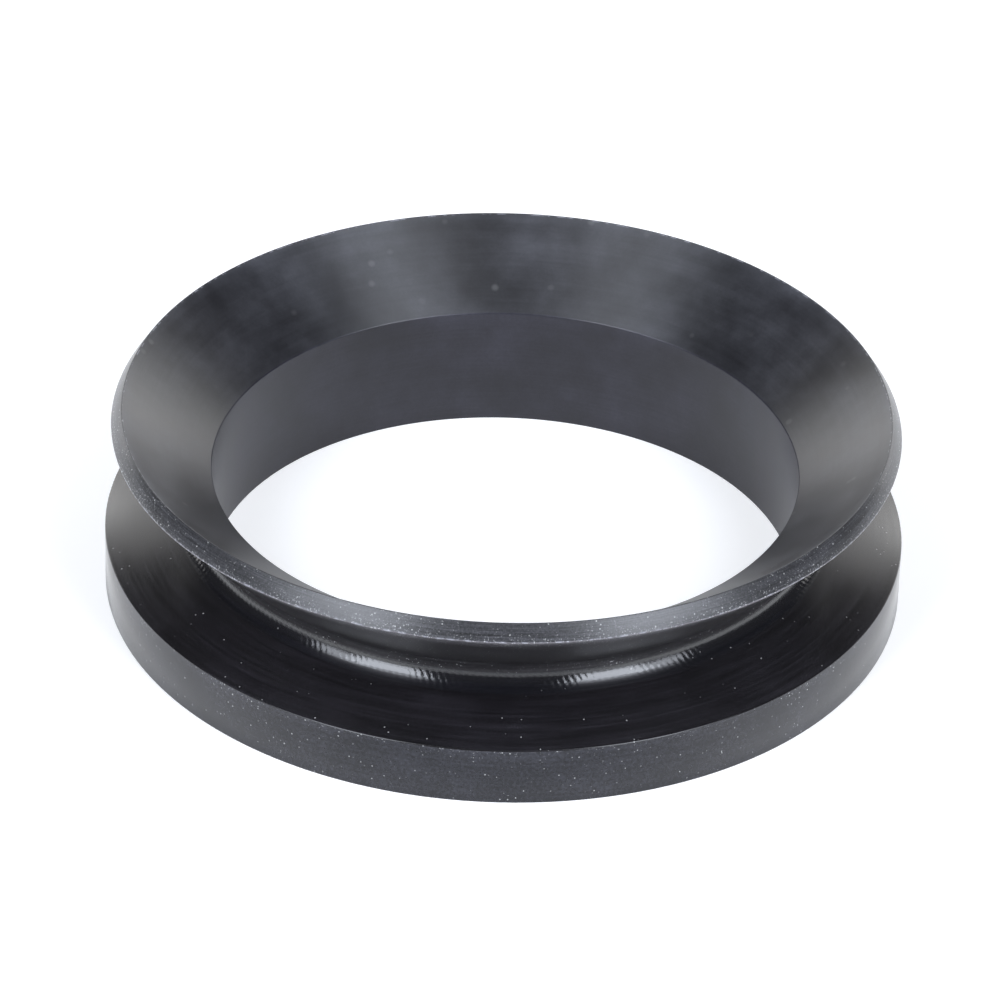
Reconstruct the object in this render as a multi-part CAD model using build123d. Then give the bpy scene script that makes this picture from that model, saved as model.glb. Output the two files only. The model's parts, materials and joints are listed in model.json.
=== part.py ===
from build123d import *

import os

# A V-ring shaft seal: a rubber body that grips the shaft, and a thin conical lip that
# bends at a hinge and runs against a face square to the shaft.
# The ring lies heel down: its axis is Z, and its flat heel is on Z = 0. Millimetres.

# Body
BORE_DIAMETER = 22.0        # free, before it is stretched over its shaft
SECTION_WIDTH = 4.0         # from the bore out to the rim
BORE_LENGTH = 4.8           # cylindrical grip on the shaft, from the heel up
RIM_HEIGHT = 2.27           # cylindrical outer band, from the heel up

# Groove and hinge
GROOVE_RADIUS = 0.67        # round at the bottom of the groove
GROOVE_HEIGHT = 3.58        # its centre, above the heel
HINGE_THICKNESS = 0.85      # rubber left between the bore and the groove

# Lip
OVERALL_HEIGHT = 7.38       # heel to sealing edge, free
LIP_SETBACK = 0.64          # sealing edge, in from the rim
LIP_END_WIDTH = 0.40        # bevelled band that ends the lip, measured across
LIP_END_HEIGHT = 0.62       # and measured up

bore_radius = BORE_DIAMETER / 2
rim_radius = bore_radius + SECTION_WIDTH
sealing_radius = rim_radius - LIP_SETBACK
root_radius = bore_radius + HINGE_THICKNESS

# Corners of the section, as radius and height
heel_bore = (bore_radius, 0)
heel_rim = (rim_radius, 0)
rim_edge = (rim_radius, RIM_HEIGHT)
lip_corner = (sealing_radius + LIP_END_WIDTH, OVERALL_HEIGHT - LIP_END_HEIGHT)
sealing_edge = (sealing_radius, OVERALL_HEIGHT)
bore_edge = (bore_radius, BORE_LENGTH)
groove_root = (root_radius, GROOVE_HEIGHT)
groove_centre = (root_radius + GROOVE_RADIUS, GROOVE_HEIGHT)


def tangent_point(circle, corner, side):
    """Where a straight side of the section, drawn from a corner, runs into the groove."""
    line = ConstrainedLines(circle, corner, selector=lambda lines: lines.sort_by(side)[0])
    return line.vertices().sort_by_distance(groove_centre)[0].center()


def ring_section():
    """Half section: the shoulder and the lip's back run tangent into the groove's round."""
    circle = CenterArc(groove_centre, GROOVE_RADIUS, 0, 360)
    shoulder_end = tangent_point(circle, rim_edge, Axis.Y)
    lip_back_end = tangent_point(circle, lip_corner, Axis.X)
    sides = Polyline(
        lip_back_end, lip_corner, sealing_edge, bore_edge, heel_bore, heel_rim, rim_edge, shoulder_end
    )
    root = ThreePointArc(shoulder_end, groove_root, lip_back_end)
    return Plane.XZ * make_face(sides + root)


seal_ring = revolve(ring_section(), Axis.Z)
seal_ring.label = "seal_ring"

os.makedirs("parts", exist_ok=True)
export_step(seal_ring, "parts/seal_ring.step")
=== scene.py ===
import bmesh
import bpy
import json
import math
from mathutils import Matrix, Vector


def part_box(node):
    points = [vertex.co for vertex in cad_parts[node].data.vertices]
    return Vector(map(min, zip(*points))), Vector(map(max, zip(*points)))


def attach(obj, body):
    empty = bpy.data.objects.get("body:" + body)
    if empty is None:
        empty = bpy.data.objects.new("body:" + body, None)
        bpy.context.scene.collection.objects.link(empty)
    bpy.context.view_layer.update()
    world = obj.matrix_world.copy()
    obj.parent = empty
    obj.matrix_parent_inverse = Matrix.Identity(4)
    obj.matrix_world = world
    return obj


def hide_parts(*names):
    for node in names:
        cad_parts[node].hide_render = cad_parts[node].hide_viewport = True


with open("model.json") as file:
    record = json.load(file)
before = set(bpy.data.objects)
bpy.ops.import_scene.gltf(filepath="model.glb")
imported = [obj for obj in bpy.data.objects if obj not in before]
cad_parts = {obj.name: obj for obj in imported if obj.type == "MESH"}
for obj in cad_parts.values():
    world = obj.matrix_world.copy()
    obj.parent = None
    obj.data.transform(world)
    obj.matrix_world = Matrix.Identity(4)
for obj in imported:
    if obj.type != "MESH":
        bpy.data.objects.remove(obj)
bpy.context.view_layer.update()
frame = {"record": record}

# ---------------------------------------------------------------- sizes, in metres

MM = 0.001
_, ring_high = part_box("seal_ring")
bore_mount = next(m for m in frame["record"]["mounts"] if m["name"] == "bore")

RIM_RADIUS = ring_high.x
OVERALL_HEIGHT = ring_high.z
BORE_RADIUS = bore_mount["dims"]["r_mm"] * MM
BORE_LENGTH = bore_mount["dims"]["length_mm"] * MM
RIM_HEIGHT = 2.27 * MM
GROOVE_RADIUS = 0.67 * MM
GROOVE_HEIGHT = 3.58 * MM
HINGE_THICKNESS = 0.85 * MM
LIP_SETBACK = 0.64 * MM
LIP_END_WIDTH = 0.40 * MM
LIP_END_HEIGHT = 0.62 * MM
EDGE_ROUND = 0.04 * MM          # what the cutter leaves of a sharp corner
SAME_PLACE = 0.001 * MM

GROOVE_STEPS = 28               # straight pieces in the groove's round
EDGE_STEPS = 3                  # and in each rounded corner
TURN_STEPS = 480                # around the ring
BY_AREA = 100                   # weight that lets a face's area alone decide how a corner is shaded


def linear(hex_colour):
    """An sRGB hex colour as linear red, green, blue and alpha."""
    channels = [int(hex_colour[i:i + 2], 16) / 255 for i in (1, 3, 5)]
    return (*[c / 12.92 if c <= 0.04045 else ((c + 0.055) / 1.055) ** 2.4 for c in channels], 1)


# ---------------------------------------------------------------- the ring's section

def on_section(radius, height):
    """A point of the section, which stands in the XZ plane."""
    return Vector((radius, 0, height))


groove_centre = on_section(BORE_RADIUS + HINGE_THICKNESS + GROOVE_RADIUS, GROOVE_HEIGHT)
heel_bore = on_section(BORE_RADIUS, 0)
heel_rim = on_section(RIM_RADIUS, 0)
rim_edge = on_section(RIM_RADIUS, RIM_HEIGHT)
sealing_edge = on_section(RIM_RADIUS - LIP_SETBACK, OVERALL_HEIGHT)
lip_corner = sealing_edge + on_section(LIP_END_WIDTH, -LIP_END_HEIGHT)
bore_edge = on_section(BORE_RADIUS, BORE_LENGTH)


def touch_angle(corner, side):
    """Where on the groove's round a straight line from a corner touches it, as an angle from +X."""
    line = corner - groove_centre
    return (math.atan2(line.z, line.x) + side * math.acos(GROOVE_RADIUS / line.length)) % (2 * math.pi)


def on_groove(angle):
    """The point of the groove's round at an angle from +X."""
    return groove_centre + on_section(GROOVE_RADIUS * math.cos(angle), GROOVE_RADIUS * math.sin(angle))


shoulder_touch = touch_angle(rim_edge, -1)
lip_back_touch = touch_angle(lip_corner, 1)


def draw_line(start, *corners):
    """Draws on from the chosen point of the outline, which is at start, through each corner."""
    for corner in corners:
        bpy.ops.mesh.extrude_vertices_move(TRANSFORM_OT_translate={"value": corner - start})
        start = corner


def choose_corners(mesh, corners):
    """Selects the points of the mesh being edited that lie on the given corners."""
    bpy.ops.mesh.select_all(action="DESELECT")
    edited = bmesh.from_edit_mesh(mesh)
    for point in edited.verts:
        point.select = any((point.co - corner).length < SAME_PLACE for corner in corners)
    edited.select_flush_mode()
    bmesh.update_edit_mesh(mesh)


def turned_ring():
    """The ring as a lathe makes it: its section drawn point by point, its corners broken, then spun."""
    bpy.ops.object.select_all(action="DESELECT")
    bpy.ops.mesh.primitive_plane_add(size=MM, location=heel_bore)
    piece = bpy.context.object
    piece.name = "turned_seal_ring"
    bpy.ops.object.transform_apply()
    bpy.ops.object.mode_set(mode="EDIT")

    # the outline, which starts and ends at the heel's inner corner
    bpy.ops.mesh.select_all(action="SELECT")
    bpy.ops.mesh.merge(type="CENTER")
    draw_line(heel_bore, heel_rim, rim_edge, on_groove(shoulder_touch))
    bpy.ops.mesh.spin(
        steps=GROOVE_STEPS, angle=shoulder_touch - lip_back_touch, center=groove_centre, axis=(0, -1, 0)
    )
    draw_line(on_groove(lip_back_touch), lip_corner, sealing_edge, bore_edge, heel_bore)
    bpy.ops.mesh.select_all(action="SELECT")
    bpy.ops.mesh.remove_doubles(threshold=SAME_PLACE)

    # its corners, which a bevel finds on a face, and the face is then deleted
    bpy.ops.mesh.edge_face_add()
    choose_corners(piece.data, (heel_bore, heel_rim, rim_edge, lip_corner, sealing_edge, bore_edge))
    bpy.ops.mesh.bevel(offset=EDGE_ROUND, segments=EDGE_STEPS, affect="VERTICES")
    bpy.ops.mesh.select_all(action="SELECT")
    bpy.ops.mesh.delete(type="ONLY_FACE")

    # the turning
    bpy.ops.mesh.select_all(action="SELECT")
    bpy.ops.mesh.spin(steps=TURN_STEPS, angle=2 * math.pi, center=(0, 0, 0), axis=(0, 0, 1))
    bpy.ops.mesh.select_all(action="SELECT")
    bpy.ops.mesh.remove_doubles(threshold=SAME_PLACE)
    bpy.ops.mesh.normals_make_consistent(inside=False)
    bpy.ops.object.mode_set(mode="OBJECT")
    bpy.ops.object.shade_smooth()
    bpy.ops.object.modifier_add(type="WEIGHTED_NORMAL")
    piece.modifiers[-1].weight = BY_AREA
    bpy.ops.object.modifier_apply(modifier=piece.modifiers[-1].name)
    return piece


ring = turned_ring()


# ---------------------------------------------------------------- rubber

NITRILE_IOR = 1.52
ACROSS_THE_LINES = 0.25         # of a full turn: highlights are drawn out across the tool lines
NOISE_ROUGHNESS = 0.6           # how strong each finer layer of a noise is beside the one before

# The range of each noise that is spread over 0 to 1.
FINE_SPREAD = (0.22, 0.78)
CLOUD_SPREAD = (0.25, 0.75)
CRUMB_SPREAD = (0.3, 0.8)
CHIP_SPREAD = (0.5, 0.62)       # from the middle up, so half of a corner stays whole

LINE_LEAN = -0.3                # share of the radius added to the height, so every slope has its lines
PATCH_SIZE = 3 * MM             # clouds of bloom

DUST_COLOUR = "#C4C4C2"
DUST_CELL = 0.14 * MM           # a speck of dust is a quarter to a half of this across
BLOTCH_CELL = 0.7 * MM          # and so is a blotch where a drop dried on the cone
SPECK_EDGE = 0.26               # how far from its middle a speck begins to show, in cells
SPECK_FULL = 0.12               # and how far it is whole
SPECKS_A_CELL = 0.43            # specks on a square as wide as a cell, if no cell were empty
FAINTEST_SPECK = -0.2           # below nothing, so that some specks don't show and few are bright
DUST_ANYWHERE = 0.3             # how thick dust lies on clean rubber, and a full cloud adds 1 to it
DUST_AT_EDGE = 1.5              # and the worn corner this much

CRUMB_COLOUR = "#D2D2D2"
CRUMB_SIZE = 0.065 * MM         # crumbs of rubber that the cutter leaves
CRUMBS_AT_EDGE = 0.2            # how much thicker they lie at the worn corner
CRUMBS_IN_CLOUD = 0.25          # and in a cloud of bloom
CRUMB_EDGE = 1.1                # where in the noise a crumb begins, less the crumbs asked for
CRUMB_FULL = 1.25               # and where it is whole, less the same

# torn rubber, paler, and partly a painted glint along thin corners
TORN_AND_GLINT_COLOUR = "#9C9CA4"
CHIP_SIZE = 0.25 * MM           # nicks along a thin corner
NICK_REACH = 0.09 * MM          # how far from the corner they go

CHATTER_MARKS = 305             # around the ring, in the groove
CHATTER_LEAN = 16000            # how far they lean, in radians per metre of height


def add_node(tree, kind, settings=None, links=None):
    """Adds a node, sets its options and its inputs' own values, and links its other inputs."""
    node = tree.nodes.new(kind)
    for name, value in (settings or {}).items():
        if isinstance(name, str) and hasattr(node, name):
            setattr(node, name, value)
        else:
            node.inputs[name].default_value = value
    for name, socket in (links or {}).items():
        tree.links.new(socket, node.inputs[name])
    return node


def around_the_axis(tree):
    """Object coordinates as a lathe knows them: place, radius, height, turn, and place along the lines."""
    place = add_node(tree, "ShaderNodeTexCoord").outputs["Object"]
    x, y, height = add_node(tree, "ShaderNodeSeparateXYZ", links={0: place}).outputs
    flat = add_node(tree, "ShaderNodeCombineXYZ", links={0: x, 1: y}).outputs[0]
    radius = add_node(tree, "ShaderNodeVectorMath", {"operation": "LENGTH"}, {0: flat}).outputs["Value"]
    turn = add_node(tree, "ShaderNodeMath", {"operation": "ARCTAN2"}, {0: y, 1: x}).outputs[0]
    across = add_node(
        tree, "ShaderNodeMath", {"operation": "MULTIPLY_ADD", 1: LINE_LEAN}, {0: radius, 2: height}
    ).outputs[0]
    wound = add_node(tree, "ShaderNodeCombineXYZ", links={0: x, 1: y, 2: across}).outputs[0]
    return place, radius, height, turn, wound


def noise_in(tree, vector, size, detail, spread):
    """Noise in grains of the given size, with the given part of its range spread over 0 to 1."""
    texture = add_node(
        tree,
        "ShaderNodeTexNoise",
        {"Scale": 1 / size, "Detail": detail, "Roughness": NOISE_ROUGHNESS},
        {"Vector": vector},
    )
    low, high = spread
    return add_node(
        tree, "ShaderNodeMapRange", {"From Min": low, "From Max": high}, {"Value": texture.outputs["Fac"]}
    ).outputs["Result"]


def turned_rubber(
    name, black, bloom, smooth, rough, shares, worn_edge, level=0.5, anisotropy=0.0,
    line_pitch=0.08 * MM, line_length=4 * MM, line_depth=0.001 * MM, grain_size=0.12 * MM, grit=0.5,
    reach=0.5 * MM, dust=0.0, dust_cell=DUST_CELL, dust_tone=0.75, crumbs=0.0, crumb_and_glint_tone=0.3,
    nicks_and_glints=0.0, chatter=0.0,
):
    """Black nitrile rubber as a tool leaves it.

    It goes from the colour black and the roughness smooth to the colour bloom and the roughness rough, by
    the shares of tool lines, grain, clouds of bloom and wear, which goes as far as reach from the worn
    edge. A real tool line is 0.02 to 0.04 mm wide, which is too fine to show, so line_pitch draws them two
    or three times as coarse. Level is the specular level, dust is in specks a square millimetre, and
    chatter is the depth of its marks.
    """
    material = bpy.data.materials.new(name)
    material.use_nodes = True
    tree = material.node_tree
    shader = tree.nodes["Principled BSDF"]
    place, radius, height, turn, wound = around_the_axis(tree)

    # lines that the tool leaves around the ring, fine grain, and clouds of bloom
    drawn_out = add_node(
        tree,
        "ShaderNodeMapping",
        {"Scale": (1 / line_length, 1 / line_length, 1 / line_pitch)},
        {"Vector": wound},
    ).outputs[0]
    lines = noise_in(tree, drawn_out, size=1, detail=3, spread=FINE_SPREAD)
    grain = noise_in(tree, place, size=grain_size, detail=2, spread=FINE_SPREAD)
    clouds = noise_in(tree, place, size=PATCH_SIZE, detail=3, spread=CLOUD_SPREAD)

    # how near the worn corner of the section is
    section = add_node(tree, "ShaderNodeCombineXYZ", links={0: radius, 2: height}).outputs[0]
    away = add_node(
        tree, "ShaderNodeVectorMath", {"operation": "DISTANCE", 1: worn_edge}, {0: section}
    ).outputs["Value"]
    wear = add_node(
        tree, "ShaderNodeMapRange", {"From Min": reach, "From Max": 0.0}, {"Value": away}
    ).outputs["Result"]

    worn = None
    for share, pattern in zip(shares, (lines, grain, clouds, wear)):
        part = add_node(tree, "ShaderNodeMath", {"operation": "MULTIPLY_ADD", 1: share, 2: 0.0}, {0: pattern})
        if worn:
            tree.links.new(worn, part.inputs[2])
        worn = part.outputs[0]
    gloss = add_node(
        tree, "ShaderNodeMapRange", {"To Min": smooth, "To Max": rough}, {"Value": worn}
    ).outputs["Result"]

    # squared, so that the rubber stays black until it is well worn
    pale = add_node(tree, "ShaderNodeMath", {"operation": "POWER", 1: 2.0}, {0: worn}).outputs[0]
    coats = [(pale, bloom)]

    if dust:
        # round specks, each one its own brightness, thicker in the clouds and near the worn corner
        cells = add_node(tree, "ShaderNodeTexVoronoi", {"Scale": 1 / dust_cell}, {"Vector": place}).outputs
        speck = add_node(
            tree,
            "ShaderNodeMapRange",
            {"From Min": SPECK_EDGE, "From Max": SPECK_FULL},
            {"Value": cells["Distance"]},
        ).outputs["Result"]
        chance, bright, _ = add_node(tree, "ShaderNodeSeparateColor", links={0: cells["Color"]}).outputs
        thick = add_node(
            tree, "ShaderNodeMath", {"operation": "ADD", 1: DUST_ANYWHERE}, {0: clouds}
        ).outputs[0]
        thick = add_node(
            tree, "ShaderNodeMath", {"operation": "MULTIPLY_ADD", 1: DUST_AT_EDGE}, {0: wear, 2: thick}
        ).outputs[0]
        thick = add_node(
            tree,
            "ShaderNodeMath",
            {"operation": "MULTIPLY", 1: dust * (dust_cell / MM) ** 2 / SPECKS_A_CELL},
            {0: thick},
        ).outputs[0]
        there = add_node(
            tree, "ShaderNodeMath", {"operation": "LESS_THAN"}, {0: chance, 1: thick}
        ).outputs[0]
        bright = add_node(
            tree, "ShaderNodeMapRange", {"To Min": FAINTEST_SPECK, "To Max": dust_tone}, {"Value": bright}
        ).outputs["Result"]
        for factor in (there, bright):
            speck = add_node(
                tree, "ShaderNodeMath", {"operation": "MULTIPLY"}, {0: speck, 1: factor}
            ).outputs[0]
        coats.append((speck, DUST_COLOUR))

    if crumbs:
        # finer than the dust and of no one shape; where their tone is high they are partly painted glints
        fine = noise_in(tree, place, size=CRUMB_SIZE, detail=1, spread=CRUMB_SPREAD)
        for thicker, pattern in ((CRUMBS_AT_EDGE, wear), (CRUMBS_IN_CLOUD, clouds)):
            fine = add_node(
                tree, "ShaderNodeMath", {"operation": "MULTIPLY_ADD", 1: thicker}, {0: pattern, 2: fine}
            ).outputs[0]
        crumb = add_node(
            tree,
            "ShaderNodeMapRange",
            {"From Min": CRUMB_EDGE - crumbs, "From Max": CRUMB_FULL - crumbs, "To Max": crumb_and_glint_tone},
            {"Value": fine},
        ).outputs["Result"]
        coats.append((crumb, CRUMB_COLOUR))

    if nicks_and_glints:
        # where a thin corner is torn it shows paler, and the pale bits are partly painted glints along the
        # corner
        chips = noise_in(tree, place, size=CHIP_SIZE, detail=2, spread=CHIP_SPREAD)
        corner = add_node(
            tree,
            "ShaderNodeMapRange",
            {"From Min": NICK_REACH, "From Max": EDGE_ROUND, "To Max": nicks_and_glints},
            {"Value": away},
        ).outputs["Result"]
        nick_and_glint = add_node(tree, "ShaderNodeMath", {"operation": "MULTIPLY"}, {0: corner, 1: chips}).outputs[0]
        coats.append((nick_and_glint, TORN_AND_GLINT_COLOUR))

    # each coat lies over the ones before it
    colour = None
    for amount, tone in coats:
        coat = add_node(
            tree,
            "ShaderNodeMix",
            {"data_type": "RGBA", 6: linear(black), 7: linear(tone)},
            {"Factor": amount},
        )
        if colour:
            tree.links.new(colour, coat.inputs[6])
        colour = coat.outputs[2]

    cut = add_node(
        tree, "ShaderNodeMath", {"operation": "MULTIPLY_ADD", 1: grit}, {0: grain, 2: lines}
    ).outputs[0]
    relief = add_node(tree, "ShaderNodeBump", {"Distance": line_depth, "Strength": 1.0}, {"Height": cut})
    if chatter:
        # short leaning waves across the tool lines, where the form tool shook
        marks = add_node(
            tree, "ShaderNodeMath", {"operation": "MULTIPLY", 1: CHATTER_MARKS}, {0: turn}
        ).outputs[0]
        phase = add_node(
            tree, "ShaderNodeMath", {"operation": "MULTIPLY_ADD", 1: CHATTER_LEAN}, {0: height, 2: marks}
        ).outputs[0]
        wave = add_node(tree, "ShaderNodeMath", {"operation": "SINE"}, {0: phase}).outputs[0]
        relief = add_node(
            tree,
            "ShaderNodeBump",
            {"Distance": chatter, "Strength": 1.0},
            {"Height": wave, "Normal": relief.outputs["Normal"]},
        )

    tree.links.new(colour, shader.inputs["Base Color"])
    tree.links.new(gloss, shader.inputs["Roughness"])
    tree.links.new(relief.outputs["Normal"], shader.inputs["Normal"])
    shader.inputs["IOR"].default_value = NITRILE_IOR
    shader.inputs["Specular IOR Level"].default_value = level
    shader.inputs["Anisotropic"].default_value = anisotropy
    shader.inputs["Anisotropic Rotation"].default_value = ACROSS_THE_LINES
    return material


SURFACES = {
    # Nitrile rubber faced with a knife: a satin cone, clouded with bloom, whose tool lines barely show,
    # with a few faint blotches.
    "cone": turned_rubber(
        "knife_faced_nitrile", black="#151519", bloom="#525359", smooth=0.30, rough=0.40,
        shares=(0.15, 0.1, 0.55, 0.25), worn_edge=sealing_edge,
        level=0.6, anisotropy=0.3, line_depth=0.0006 * MM, dust=0.5, dust_cell=BLOTCH_CELL, dust_tone=0.08,
        nicks_and_glints=0.8,
    ),
    # Nitrile rubber bored smooth: an even dark satin, softly clouded, with very faint lines and no dust.
    "bore": turned_rubber(
        "bored_nitrile", black="#121118", bloom="#302F39", smooth=0.30, rough=0.38,
        shares=(0.2, 0.2, 0.7, 0.2), worn_edge=bore_edge,
        line_depth=0.0006 * MM,
    ),
    # Nitrile rubber cut with a form tool: the glossiest part, deep black, its highlights cut up by chatter.
    "groove": turned_rubber(
        "form_cut_nitrile", black="#101014", bloom="#1C1C22", smooth=0.15, rough=0.19,
        shares=(0.7, 0.1, 0.2, 0), worn_edge=rim_edge,
        level=0.88, anisotropy=0.87, line_pitch=0.1 * MM, line_depth=0.0025 * MM, grit=0.8,
        dust=0.4, nicks_and_glints=0.8, chatter=0.001 * MM,
    ),
    # Nitrile rubber cut along its flank: black and glossy, with long faint lines and a little dust.
    "shoulder": turned_rubber(
        "flank_cut_nitrile", black="#0C0B0D", bloom="#2B292E", smooth=0.18, rough=0.27,
        shares=(0.6, 0.1, 0.3, 0), worn_edge=rim_edge,
        anisotropy=0.4, dust=0.9,
    ),
    # Nitrile rubber undercut behind the lip: duller, and paler with crumbs towards the lip's corner, whose
    # bright tone is partly a painted glint.
    "lip_back": turned_rubber(
        "undercut_nitrile", black="#131214", bloom="#6C696D", smooth=0.29, rough=0.40,
        shares=(0.4, 0.2, 0.1, 0.6), worn_edge=lip_corner,
        reach=0.9 * MM, dust=5.0, crumbs=0.15, crumb_and_glint_tone=0.9, nicks_and_glints=0.8,
    ),
    # Nitrile rubber parted off: dull, with close fine lines, and gritty with crumbs that the tool tore.
    "lip_end": turned_rubber(
        "parted_nitrile", black="#0A0A0B", bloom="#65656A", smooth=0.29, rough=0.38,
        shares=(0.55, 0.4, 0, 0), worn_edge=lip_corner,
        level=0.6, anisotropy=0.4, line_pitch=0.045 * MM, line_length=2 * MM, grain_size=0.07 * MM,
        reach=0.4 * MM, dust=8.0, crumbs=0.20, crumb_and_glint_tone=0.28, nicks_and_glints=0.3,
    ),
    # Nitrile rubber with the skin of its mould: smooth and grey with what it mirrors, peppered with dust.
    "rim": turned_rubber(
        "moulded_nitrile", black="#0A0A0D", bloom="#4A4A53", smooth=0.12, rough=0.20,
        shares=(0.2, 0.45, 0.25, 0.1), worn_edge=rim_edge,
        dust=5.5, crumbs=0.08, crumb_and_glint_tone=0.3, nicks_and_glints=0.15,
    ),
}
for material in SURFACES.values():
    ring.data.materials.append(material)

UPRIGHT = 0.99                  # outward share of an upright wall's normal
JUST_PAST = 1.02                # of a radius, so that all of a round's own faces count
ROUND_REACH = 1.2 * EDGE_ROUND  # how far from a corner its round goes
lip_end_middle = (sealing_edge + lip_corner) / 2


def surface_at(spot, outward):
    """Which surface a face lies on, by its place in the section and the outward share of its normal."""
    if (spot - lip_end_middle).length < 2 * EDGE_ROUND or (spot - sealing_edge).length < EDGE_ROUND:
        return "lip_end"
    if outward > UPRIGHT and spot.z < RIM_HEIGHT:
        return "rim"
    if outward < -UPRIGHT or (spot - bore_edge).length < ROUND_REACH or spot.z < 2 * EDGE_ROUND:
        return "bore"
    if outward < 0:
        return "cone"
    if spot.z > GROOVE_HEIGHT - 2 * EDGE_ROUND:
        return "lip_back"
    return "groove" if (spot - groove_centre).length < JUST_PAST * GROOVE_RADIUS else "shoulder"


order = list(SURFACES)
for face in ring.data.polygons:
    radius = math.hypot(face.center.x, face.center.y)
    outward = (face.normal.x * face.center.x + face.normal.y * face.center.y) / radius
    face.material_index = order.index(surface_at(on_section(radius, face.center.z), outward))

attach(ring, "root")
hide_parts("seal_ring")


# ---------------------------------------------------------------- the table

FLOOR_SIZE = 4
WHITE = (1, 1, 1, 1)
SEEN_GLOW = 0.45                # what lifts the card to white where the camera sees it
MIRRORED_GLOW = 0.7             # and where the rubber mirrors it
SHADED_GLOW = 0.15              # and mirrors the part of it under the painted shade
# a painted shade on the glow that the rubber mirrors: a disc in front of the ring, with a soft edge
SHADE_CENTRE = (0, -28 * MM, 0)
SHADE_RADIUS = 11 * MM
SHADE_FADE = 8 * MM
RING_SHADE = 0.36               # share of the glow above the shaded one that is left inside and under the ring, a painted shade
RING_SHADE_FADE = 0.03 * RIM_RADIUS

bpy.ops.object.select_all(action="DESELECT")
bpy.ops.mesh.primitive_plane_add(size=FLOOR_SIZE, location=(0, 0, 0))
floor = bpy.context.object
floor.name = "floor"

# White card: matt and even, so that it shows only as a white ground and as what the gloss mirrors.
white_card = bpy.data.materials.new("white_card")
white_card.use_nodes = True
tree = white_card.node_tree
card = tree.nodes["Principled BSDF"]
card.inputs["Base Color"].default_value = linear("#DCDCDC")
card.inputs["Roughness"].default_value = 0.9
card.inputs["Specular IOR Level"].default_value = 0

# What the rubber mirrors of it carries painted shade: darker in front, so that the rim is darkest in its
# middle, and inside the ring, so that the bore is dark.
spot = add_node(tree, "ShaderNodeTexCoord").outputs["Object"]
from_shade = add_node(
    tree, "ShaderNodeVectorMath", {"operation": "DISTANCE", 1: SHADE_CENTRE}, {0: spot}
).outputs["Value"]
beyond_shade = add_node(
    tree,
    "ShaderNodeMapRange",
    {"From Min": SHADE_RADIUS, "From Max": SHADE_RADIUS + SHADE_FADE},
    {"Value": from_shade},
).outputs["Result"]
from_axis = add_node(tree, "ShaderNodeVectorMath", {"operation": "LENGTH"}, {0: spot}).outputs["Value"]
beyond_ring = add_node(
    tree,
    "ShaderNodeMapRange",
    {"From Min": RIM_RADIUS, "From Max": RIM_RADIUS + RING_SHADE_FADE, "To Min": RING_SHADE},
    {"Value": from_axis},
).outputs["Result"]
outside_painted_shade = add_node(
    tree, "ShaderNodeMath", {"operation": "MULTIPLY"}, {0: beyond_shade, 1: beyond_ring}
).outputs[0]
glow_there = add_node(
    tree, "ShaderNodeMapRange", {"To Min": SHADED_GLOW, "To Max": MIRRORED_GLOW}, {"Value": outside_painted_shade}
).outputs["Result"]

# It glows only for what is seen and mirrored, so that it doesn't light the ring.
path = add_node(tree, "ShaderNodeLightPath").outputs
mirrored = add_node(
    tree,
    "ShaderNodeMath",
    {"operation": "MAXIMUM"},
    {0: path["Is Glossy Ray"], 1: path["Is Transmission Ray"]},
).outputs[0]
mirrored_glow = add_node(
    tree, "ShaderNodeMath", {"operation": "MULTIPLY"}, {0: mirrored, 1: glow_there}
).outputs[0]
glow = add_node(
    tree,
    "ShaderNodeMath",
    {"operation": "MULTIPLY_ADD", 1: SEEN_GLOW},
    {0: path["Is Camera Ray"], 2: mirrored_glow},
).outputs[0]
tree.links.new(glow, card.inputs["Emission Strength"])
card.inputs["Emission Color"].default_value = WHITE
floor.data.materials.append(white_card)

# ---------------------------------------------------------------- the lights

WORLD_STRENGTH = 0.08           # a little light from all round, so that nothing goes fully black
LAMP_DISTANCE = 0.6
COOL_WHITE = "#EEF4FF"
LEFT, RIGHT = -1, 1

world = bpy.data.worlds.new("studio")
bpy.context.scene.world = world
world.use_nodes = True
world.node_tree.nodes["Background"].inputs["Color"].default_value = WHITE
world.node_tree.nodes["Background"].inputs["Strength"].default_value = WORLD_STRENGTH


def panel(name, direction, up, half_width, half_height, radiance, colour="#FFFFFF"):
    """A flat lamp that faces the ring, as wide and high as the angles, in degrees, it fills from there."""
    width, height = (2 * LAMP_DISTANCE * math.tan(math.radians(a)) for a in (half_width, half_height))
    lamp = bpy.data.lights.new(name, "AREA")
    lamp.shape = "RECTANGLE"
    lamp.size, lamp.size_y = width, height
    lamp.color = linear(colour)[:3]
    lamp.energy = radiance * math.pi * width * height
    out = Vector(direction).normalized()
    aside = Vector(up).cross(out).normalized()
    turn = Matrix((aside, out.cross(aside), out)).transposed().to_4x4()
    holder = bpy.data.objects.new(name, lamp)
    holder.matrix_world = Matrix.Translation(out * LAMP_DISTANCE) @ turn
    bpy.context.scene.collection.objects.link(holder)


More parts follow.
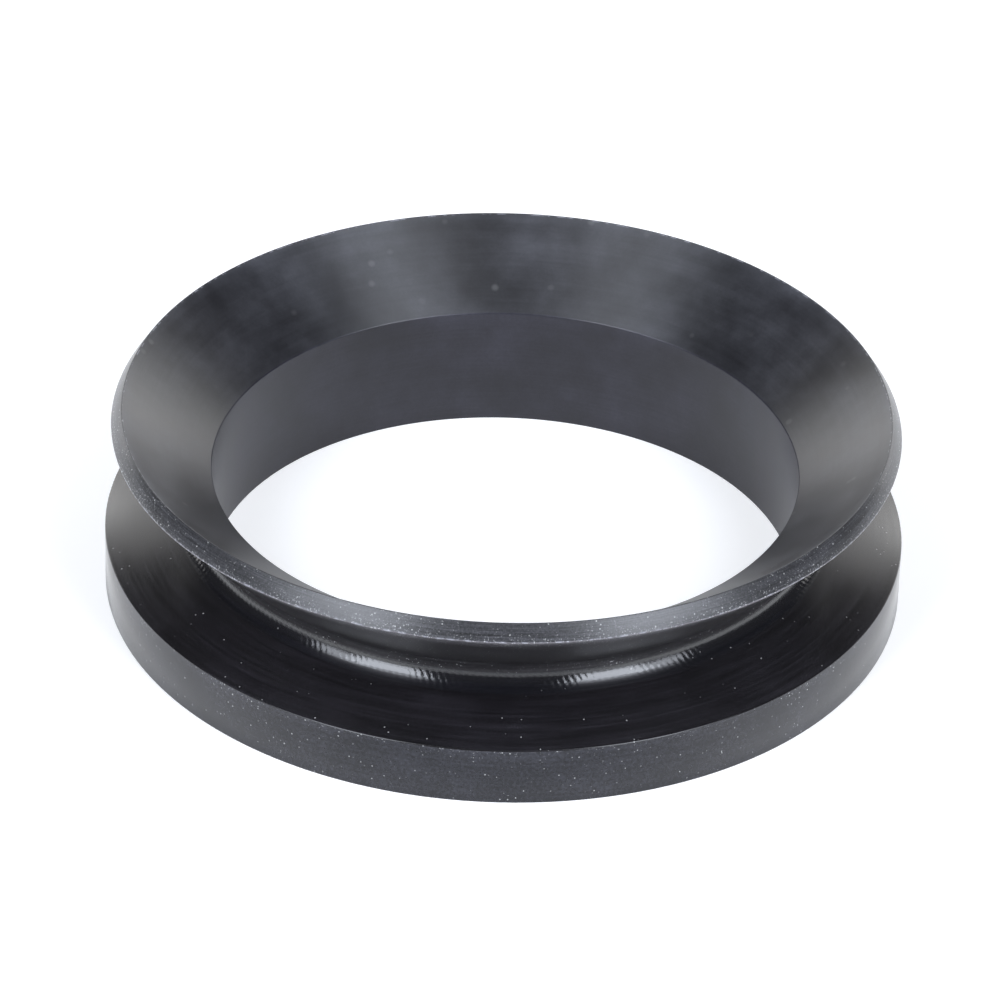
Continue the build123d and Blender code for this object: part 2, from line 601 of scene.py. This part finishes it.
for side, top_radiance in ((LEFT, 1.4), (RIGHT, 2.2)):
    # in front at each side: the highlights in the groove and on the lip's end
    panel(
        "softbox", direction=(side * 0.54, -0.63, 0.559), up=(side * -0.26, 0.58, 0.77),
        half_width=11, half_height=26, radiance=7.0, colour=COOL_WHITE,
    )
    # beside it and weaker: the outer ends of those highlights
    panel(
        "softbox_outer", direction=(side * 0.72, -0.41, 0.56), up=(side * -0.38, 0.4, 0.77),
        half_width=6, half_height=24, radiance=3.8, colour=COOL_WHITE,
    )
    # above it: the pale streak on each side of the far cone
    panel(
        "softbox_top", direction=(side * 0.38, -0.2, 0.9), up=(side * -0.28, 0.76, 0.40),
        half_width=8, half_height=12, radiance=top_radiance, colour=COOL_WHITE,
    )
    # behind at each side: the shine at both ends of the cone and of the lip's end
    panel(
        "backdrop_side", direction=(side * 0.64, 0.766, 0.20), up=(0, 0, 1),
        half_width=14, half_height=13, radiance=2.3,
    )
# straight behind: the shine at both ends of the shoulder
panel("backdrop", direction=(0, 1, 0.36), up=(0, 0, 1), half_width=28, half_height=16, radiance=1.7)
# overhead: the low sheen in the middle of the far cone
panel("overhead", direction=(0, -0.309, 0.951), up=(0, 1, 0), half_width=22, half_height=12, radiance=0.3)

# ---------------------------------------------------------------- camera

CAMERA_DISTANCE = 242.55 * MM
CAMERA_ELEVATION = math.radians(32.85)
CAMERA_ROLL = math.radians(1.72)
CAMERA_ASIDE = -0.165 * MM
CAMERA_RAISE = 2.74 * MM
FILM_WIDTH = 36
FOCAL_LENGTH = 230.47
NEAREST_SEEN = 0.01

lens = bpy.data.cameras.new("camera")
lens.sensor_width = FILM_WIDTH
lens.lens = FOCAL_LENGTH
lens.clip_start = NEAREST_SEEN
camera = bpy.data.objects.new("camera", lens)
towards = Vector((0, -math.cos(CAMERA_ELEVATION), math.sin(CAMERA_ELEVATION)))
right = Vector((1, 0, 0))
place = towards * CAMERA_DISTANCE + right * CAMERA_ASIDE + right.cross(-towards) * CAMERA_RAISE
turned = towards.to_track_quat("Z", "Y").to_matrix().to_4x4() @ Matrix.Rotation(CAMERA_ROLL, 4, "Z")
camera.matrix_world = Matrix.Translation(place) @ turned
bpy.context.scene.collection.objects.link(camera)
bpy.context.scene.camera = camera
bpy.context.scene.view_settings.view_transform = "Standard"
